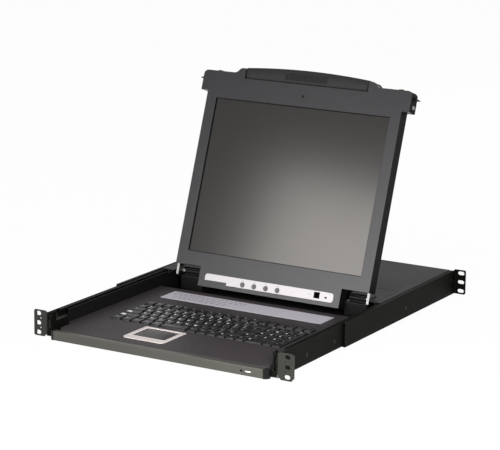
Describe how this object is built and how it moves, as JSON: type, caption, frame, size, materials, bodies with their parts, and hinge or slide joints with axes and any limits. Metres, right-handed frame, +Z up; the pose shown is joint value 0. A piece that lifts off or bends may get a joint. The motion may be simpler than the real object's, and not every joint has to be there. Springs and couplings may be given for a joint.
{
  "type": "rackmount lcd console drawer",
  "caption": "One-unit rack drawer that slides out on telescopic rails and holds a keyboard with a touch pad, a hinged flat screen and a switch box behind.",
  "frame": {"origin": "centre of the front rack hole pattern, on the front faces of the front ears, at half the unit's height", "axes": "+X right seen from the front, +Y into the rack, +Z up"},
  "size_m": [0.4826, 0.631, 0.3956],
  "materials": {
    "rail_steel": "black powder coat",
    "ear_steel": "dark grey powder coat",
    "cover_steel": "fine-textured black paint",
    "tray_steel": "satin black paint",
    "lip_metal": "satin dark grey paint",
    "slide_steel": "zinc-plated",
    "bare_steel": "bare steel",
    "deck_plastic": "fine-grained satin moulding",
    "key_plastic": "matte black",
    "cap_plastic": "satin black moulding",
    "pale_plastic": "satin silver paint",
    "pad_film": "fine matte film",
    "label_film": "matte silver-grey film",
    "bezel_plastic": "fine-textured dark grey",
    "handle_plastic": "satin black moulding",
    "screen_glass": "anti-glare display surface",
    "control_film": "near-white satin panel",
    "button_plastic": "dark grey",
    "display_dark": "black window",
    "board_laminate": "solder-masked laminate",
    "supply_metal": "plain sheet",
    "port_metal": "nickel plate",
    "lamp_plastic": "tinted lens"
  },
  "bodies": {
    "chassis": {"left_rail": "rail_steel", "right_rail": "rail_steel", "left_slide_outer": "slide_steel", "right_slide_outer": "slide_steel", "latch_keepers": "ear_steel", "rear_case": "cover_steel", "rear_case_cover": "cover_steel", "switch_board": "board_laminate", "power_supply": "supply_metal", "computer_ports": "port_metal", "console_ports": "port_metal", "power_inlet": "cap_plastic", "ground_screw": "port_metal"},
    "left_bracket": {"left_rear_bracket": "rail_steel"},
    "right_bracket": {"right_rear_bracket": "rail_steel"},
    "rocker": {"power_rocker": "cap_plastic"},
    "left_middle": {"left_slide_middle": "slide_steel"},
    "right_middle": {"right_slide_middle": "slide_steel"},
    "drawer": {"left_slide_inner": "ear_steel", "right_slide_inner": "ear_steel", "tray_pan": "tray_steel", "front_lip": "lip_metal", "lip_end_caps": "cap_plastic", "power_led": "lamp_plastic", "keyboard_deck": "deck_plastic", "key_plate": "cap_plastic", "pad_frame": "pale_plastic", "touch_pad": "pad_film", "label_strip": "label_film", "left_hinge_body": "cap_plastic", "right_hinge_body": "cap_plastic", "tray_rear_cover": "cover_steel"},
    "space_key": {"space_bar": "key_plastic"},
    "left_click": {"left_click_button": "pale_plastic"},
    "right_click": {"right_click_button": "pale_plastic"},
    "lid": {"lid_bezel": "bezel_plastic", "lid_back_cover": "cover_steel", "lcd_panel": "screen_glass", "lid_handle": "handle_plastic", "control_plate": "control_film", "port_display": "display_dark", "lid_control_board": "board_laminate", "hinge_arms": "bare_steel", "hinge_pins": "bare_steel"},
    "left_lid_latch": {"left_latch": "cap_plastic"},
    "right_lid_latch": {"right_latch": "cap_plastic"},
    "keys_1": {"key_row_1": "key_plastic"},
    "keys_2": {"key_row_2": "key_plastic"},
    "keys_3": {"key_row_3": "key_plastic"},
    "keys_4": {"key_row_4": "key_plastic"},
    "keys_5": {"key_row_5": "key_plastic"},
    "keys_6": {"key_row_6": "key_plastic"},
    "menu_1": {"menu_button_1": "button_plastic"},
    "menu_2": {"menu_button_2": "button_plastic"},
    "menu_3": {"menu_button_3": "button_plastic"},
    "menu_4": {"menu_button_4": "button_plastic"}
  },
  "joints": [
    {"name": "drawer_slide", "type": "slide", "parent": "chassis", "child": "drawer", "axis": [0, -1, 0], "range_m": [0, 0.4]},
    {"name": "left_middle_slide", "type": "slide", "parent": "chassis", "child": "left_middle", "axis": [0, -1, 0], "range_m": [0, 0.2]},
    {"name": "right_middle_slide", "type": "slide", "parent": "chassis", "child": "right_middle", "axis": [0, -1, 0], "range_m": [0, 0.2]},
    {"name": "left_bracket_slide", "type": "slide", "parent": "chassis", "child": "left_bracket", "axis": [0, 1, 0], "range_m": [-0.1, 0.095]},
    {"name": "right_bracket_slide", "type": "slide", "parent": "chassis", "child": "right_bracket", "axis": [0, 1, 0], "range_m": [-0.1, 0.095]},
    {"name": "power_rocker_tilt", "type": "hinge", "parent": "chassis", "child": "rocker", "pos_m": [0.186, 0.608, 0.0007], "axis": [1, 0, 0], "range_deg": [0, 16]},
    {"name": "space_bar_press", "type": "slide", "parent": "drawer", "child": "space_key", "axis": [0, 0, -1], "range_m": [0, 0.002], "stiffness_N_per_m": 250, "springref_m": -0.002},
    {"name": "left_click_press", "type": "slide", "parent": "drawer", "child": "left_click", "axis": [0, 0, -1], "range_m": [0, 0.0005], "stiffness_N_per_m": 500, "springref_m": -0.001},
    {"name": "right_click_press", "type": "slide", "parent": "drawer", "child": "right_click", "axis": [0, 0, -1], "range_m": [0, 0.0005], "stiffness_N_per_m": 500, "springref_m": -0.001},
    {"name": "lid_hinge", "type": "hinge", "parent": "drawer", "child": "lid", "pos_m": [0, 0.3645, 0.0175], "axis": [1, 0, 0], "range_deg": [-10.69, 109.31]},
    {"name": "left_latch_slide", "type": "slide", "parent": "lid", "child": "left_lid_latch", "axis": [1, 0, 0], "range_m": [0, 0.0105], "stiffness_N_per_m": 200, "springref_m": -0.002},
    {"name": "right_latch_slide", "type": "slide", "parent": "lid", "child": "right_lid_latch", "axis": [-1, 0, 0], "range_m": [0, 0.0105], "stiffness_N_per_m": 200, "springref_m": -0.002},
    {"name": "key_row_1_press", "type": "slide", "parent": "drawer", "child": "keys_1", "axis": [0, 0, -1], "range_m": [0, 0.002], "stiffness_N_per_m": 400, "springref_m": -0.002},
    {"name": "key_row_2_press", "type": "slide", "parent": "drawer", "child": "keys_2", "axis": [0, 0, -1], "range_m": [0, 0.002], "stiffness_N_per_m": 400, "springref_m": -0.002},
    {"name": "key_row_3_press", "type": "slide", "parent": "drawer", "child": "keys_3", "axis": [0, 0, -1], "range_m": [0, 0.002], "stiffness_N_per_m": 400, "springref_m": -0.002},
    {"name": "key_row_4_press", "type": "slide", "parent": "drawer", "child": "keys_4", "axis": [0, 0, -1], "range_m": [0, 0.002], "stiffness_N_per_m": 400, "springref_m": -0.002},
    {"name": "key_row_5_press", "type": "slide", "parent": "drawer", "child": "keys_5", "axis": [0, 0, -1], "range_m": [0, 0.002], "stiffness_N_per_m": 400, "springref_m": -0.002},
    {"name": "key_row_6_press", "type": "slide", "parent": "drawer", "child": "keys_6", "axis": [0, 0, -1], "range_m": [0, 0.002], "stiffness_N_per_m": 400, "springref_m": -0.002},
    {"name": "menu_button_1_press", "type": "slide", "parent": "lid", "child": "menu_1", "axis": [0, 0.9437, -0.3307], "range_m": [0, 0.001], "stiffness_N_per_m": 80, "springref_m": -0.001},
    {"name": "menu_button_2_press", "type": "slide", "parent": "lid", "child": "menu_2", "axis": [0, 0.9437, -0.3307], "range_m": [0, 0.001], "stiffness_N_per_m": 80, "springref_m": -0.001},
    {"name": "menu_button_3_press", "type": "slide", "parent": "lid", "child": "menu_3", "axis": [0, 0.9437, -0.3307], "range_m": [0, 0.001], "stiffness_N_per_m": 80, "springref_m": -0.001},
    {"name": "menu_button_4_press", "type": "slide", "parent": "lid", "child": "menu_4", "axis": [0, 0.9437, -0.3307], "range_m": [0, 0.001], "stiffness_N_per_m": 80, "springref_m": -0.001}
  ],
  "couplings": [
    {"joint": "left_middle_slide", "follows": "drawer_slide", "ratio": 0.5},
    {"joint": "right_middle_slide", "follows": "drawer_slide", "ratio": 0.5}
  ]
}
